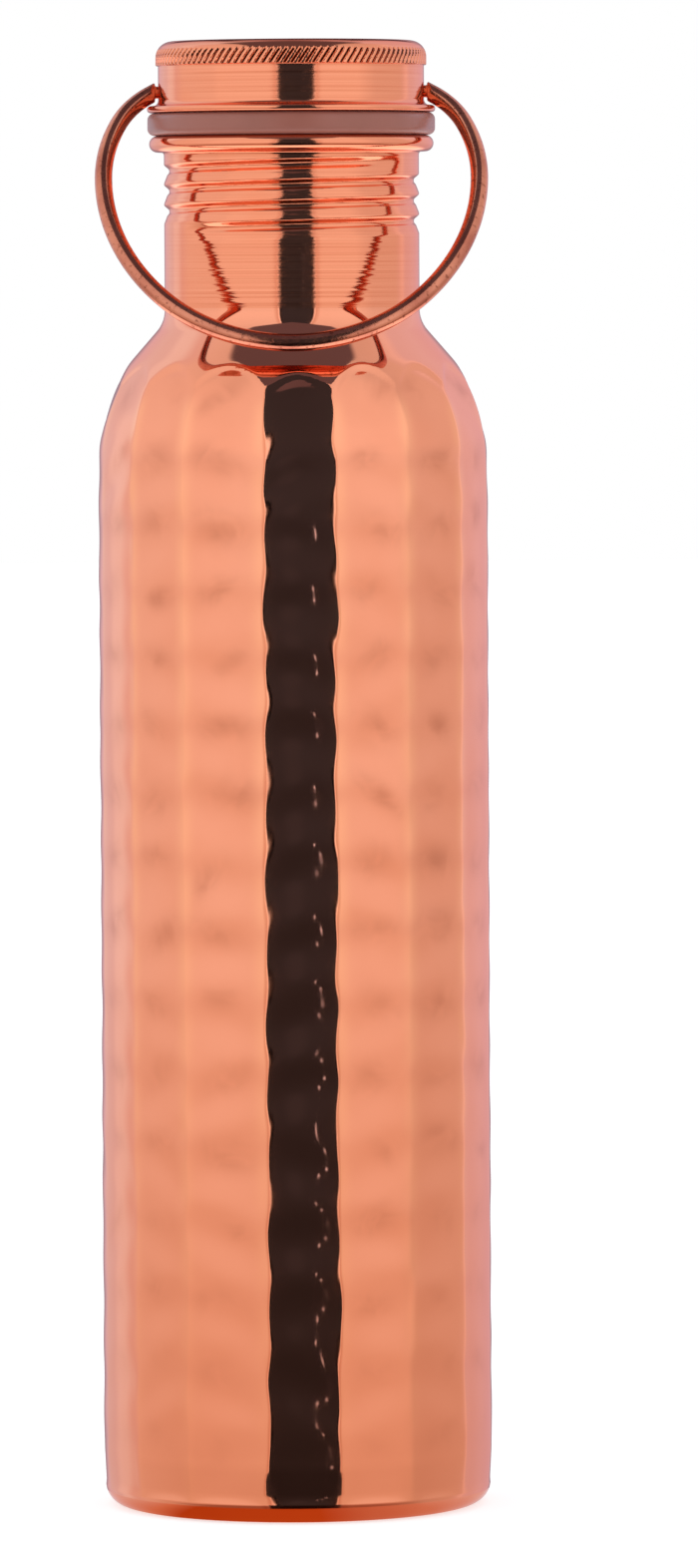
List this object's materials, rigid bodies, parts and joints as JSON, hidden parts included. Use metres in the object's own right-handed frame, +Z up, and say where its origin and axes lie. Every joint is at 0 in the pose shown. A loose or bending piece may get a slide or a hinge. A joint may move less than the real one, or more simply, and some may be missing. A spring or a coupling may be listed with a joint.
{
  "type": "water bottle",
  "caption": "Hammered copper water bottle with a threaded neck, screw lid on a silicone gasket, and a wire bail that swings on the lid.",
  "frame": {"origin": "centre of the base, on the surface that the bottle stands on", "axes": "+Z up along the bottle's axis, -Y towards the front where the bail hangs, +X to the right along the bail's pivot"},
  "size_m": [0.072, 0.072, 0.2692],
  "materials": {
    "hammered_copper": "hammered and mirror polished copper",
    "polished_copper": "plain polished copper",
    "brushed_copper": "lathe brushed copper",
    "wire_copper": "drawn copper wire, lightly pitted",
    "silicone": "matte silicone"
  },
  "bodies": {
    "bottle": {"body_shell": "hammered_copper", "base_cup": "polished_copper", "neck_collar": "brushed_copper"},
    "gasket_ring": {"gasket": "silicone"},
    "lid": {"lid_cap": "brushed_copper", "lid_plug": "polished_copper", "plug_disc": "polished_copper"},
    "handle": {"bail": "wire_copper"}
  },
  "joints": [
    {"name": "lid_lift", "type": "slide", "parent": "bottle", "child": "gasket_ring", "axis": [0, 0, 1], "range_m": [0, 0.0223]},
    {"name": "lid_turn", "type": "hinge", "parent": "gasket_ring", "child": "lid", "pos_m": [0, 0, 0.254], "axis": [0, 0, 1], "range_deg": [0, 2160]},
    {"name": "bail_swing", "type": "hinge", "parent": "lid", "child": "handle", "pos_m": [0, 0, 0.2599], "axis": [-1, 0, 0], "range_deg": [-2.7, 291]}
  ],
  "couplings": [
    {"joint": "lid_lift", "follows": "lid_turn", "m_per_rad": 0.00058887}
  ]
}
